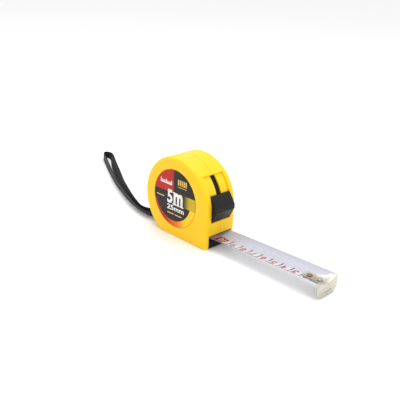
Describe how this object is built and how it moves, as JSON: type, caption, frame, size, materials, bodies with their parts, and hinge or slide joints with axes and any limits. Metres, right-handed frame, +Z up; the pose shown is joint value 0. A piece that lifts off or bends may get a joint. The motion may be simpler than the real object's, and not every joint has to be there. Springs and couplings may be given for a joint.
{
  "type": "tape measure",
  "caption": "Pocket tape measure: two-part round-backed case, curved steel blade with an end hook partly out, thumb lock on the front and a webbing wrist strap.",
  "frame": {"origin": "on the case's flat base, straight below the drum's axis, midway across the case", "axes": "+X is the way the blade comes out, +Z is up from the base, +Y is the side away from the main label; the drum's axis is along Y"},
  "size_m": [0.3344, 0.079, 0.0674],
  "materials": {
    "case_plastic": "smooth satin moulding",
    "screw_steel": "zinc plated",
    "label_print": "printed film",
    "black_rubber": "matt",
    "black_plastic": "fine matt grain",
    "blade_steel": "coated steel strip with printed scale",
    "hook_metal": "nickel plated",
    "rivet_metal": "copper plated",
    "drum_plastic": "natural moulding",
    "spring_steel": "blued",
    "washer_plastic": "thin film",
    "strap_webbing": "woven nylon"
  },
  "bodies": {
    "case": {"case_half_right": "case_plastic", "case_half_left": "case_plastic", "case_screws": "screw_steel", "label_right": "label_print", "label_left": "label_print", "mouth_pad": "black_rubber", "centre_post": "drum_plastic", "post_screw": "screw_steel", "drum_washer_right": "washer_plastic", "drum_washer_left": "washer_plastic", "strap_pin": "screw_steel", "wrist_strap": "strap_webbing"},
    "drum": {"drum": "drum_plastic", "drum_cover": "drum_plastic", "blade_coil": "blade_steel", "mainspring": "spring_steel"},
    "blade": {"blade": "blade_steel", "hook_rivets": "rivet_metal"},
    "hook": {"hook": "hook_metal"},
    "lock": {"lock_button": "black_plastic", "lock_strip": "black_plastic"}
  },
  "joints": [
    {"name": "blade_slide", "type": "slide", "parent": "case", "child": "blade", "axis": [0.9997, 0, 0.0244], "range_m": [-0.1022, 0.1], "deforming": ["blade"]},
    {"name": "hook_play", "type": "slide", "parent": "blade", "child": "hook", "axis": [0.9997, 0, 0.0244], "range_m": [-0.0009, 0]},
    {"name": "lock_slide", "type": "hinge", "parent": "case", "child": "lock", "pos_m": [0, 0, 0.031], "axis": [0, -1, 0], "range_deg": [0, 25]},
    {"name": "drum_spin", "type": "hinge", "parent": "case", "child": "drum", "pos_m": [0, 0, 0.031], "axis": [0, -1, 0], "range_deg": [-245.2, 240], "deforming": ["mainspring"]}
  ],
  "couplings": [
    {"joint": "drum_spin", "follows": "blade_slide", "rad_per_m": 41.841}
  ]
}
